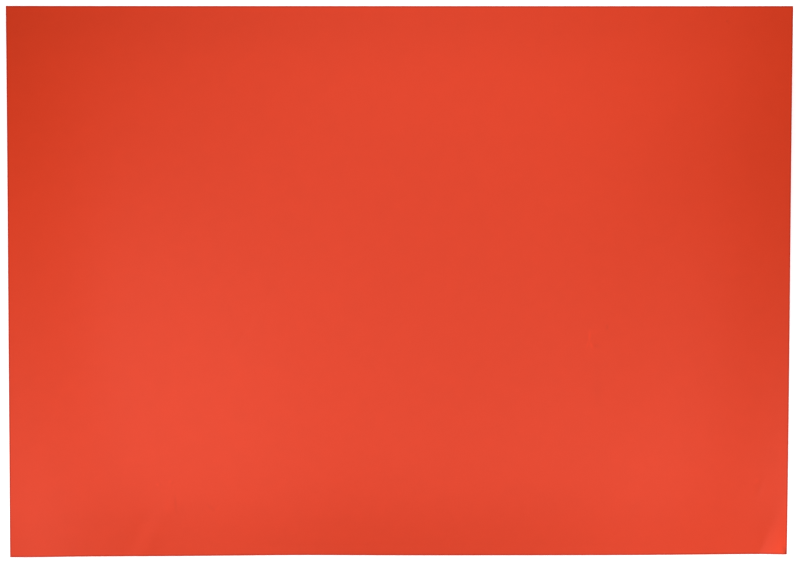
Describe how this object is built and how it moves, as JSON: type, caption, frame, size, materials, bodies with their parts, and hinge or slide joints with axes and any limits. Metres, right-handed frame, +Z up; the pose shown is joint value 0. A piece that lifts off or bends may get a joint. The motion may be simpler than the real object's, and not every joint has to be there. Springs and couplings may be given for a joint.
{
  "type": "sheet of coloured paper",
  "caption": "Flat rectangular sheet of red-orange paper, smooth and uncreased, with one corner slightly turned up.",
  "frame": {"origin": "under the middle of the sheet, on the face that it lies on", "axes": "+Z up out of the sheet, X along its long edges, Y along its short edges; the turned-up corner is at +X, -Y"},
  "size_m": [0.297, 0.21, 0.0017],
  "materials": {
    "red_paper": "matte"
  },
  "bodies": {
    "root": {"paper_sheet": "red_paper"}
  },
  "joints": []
}
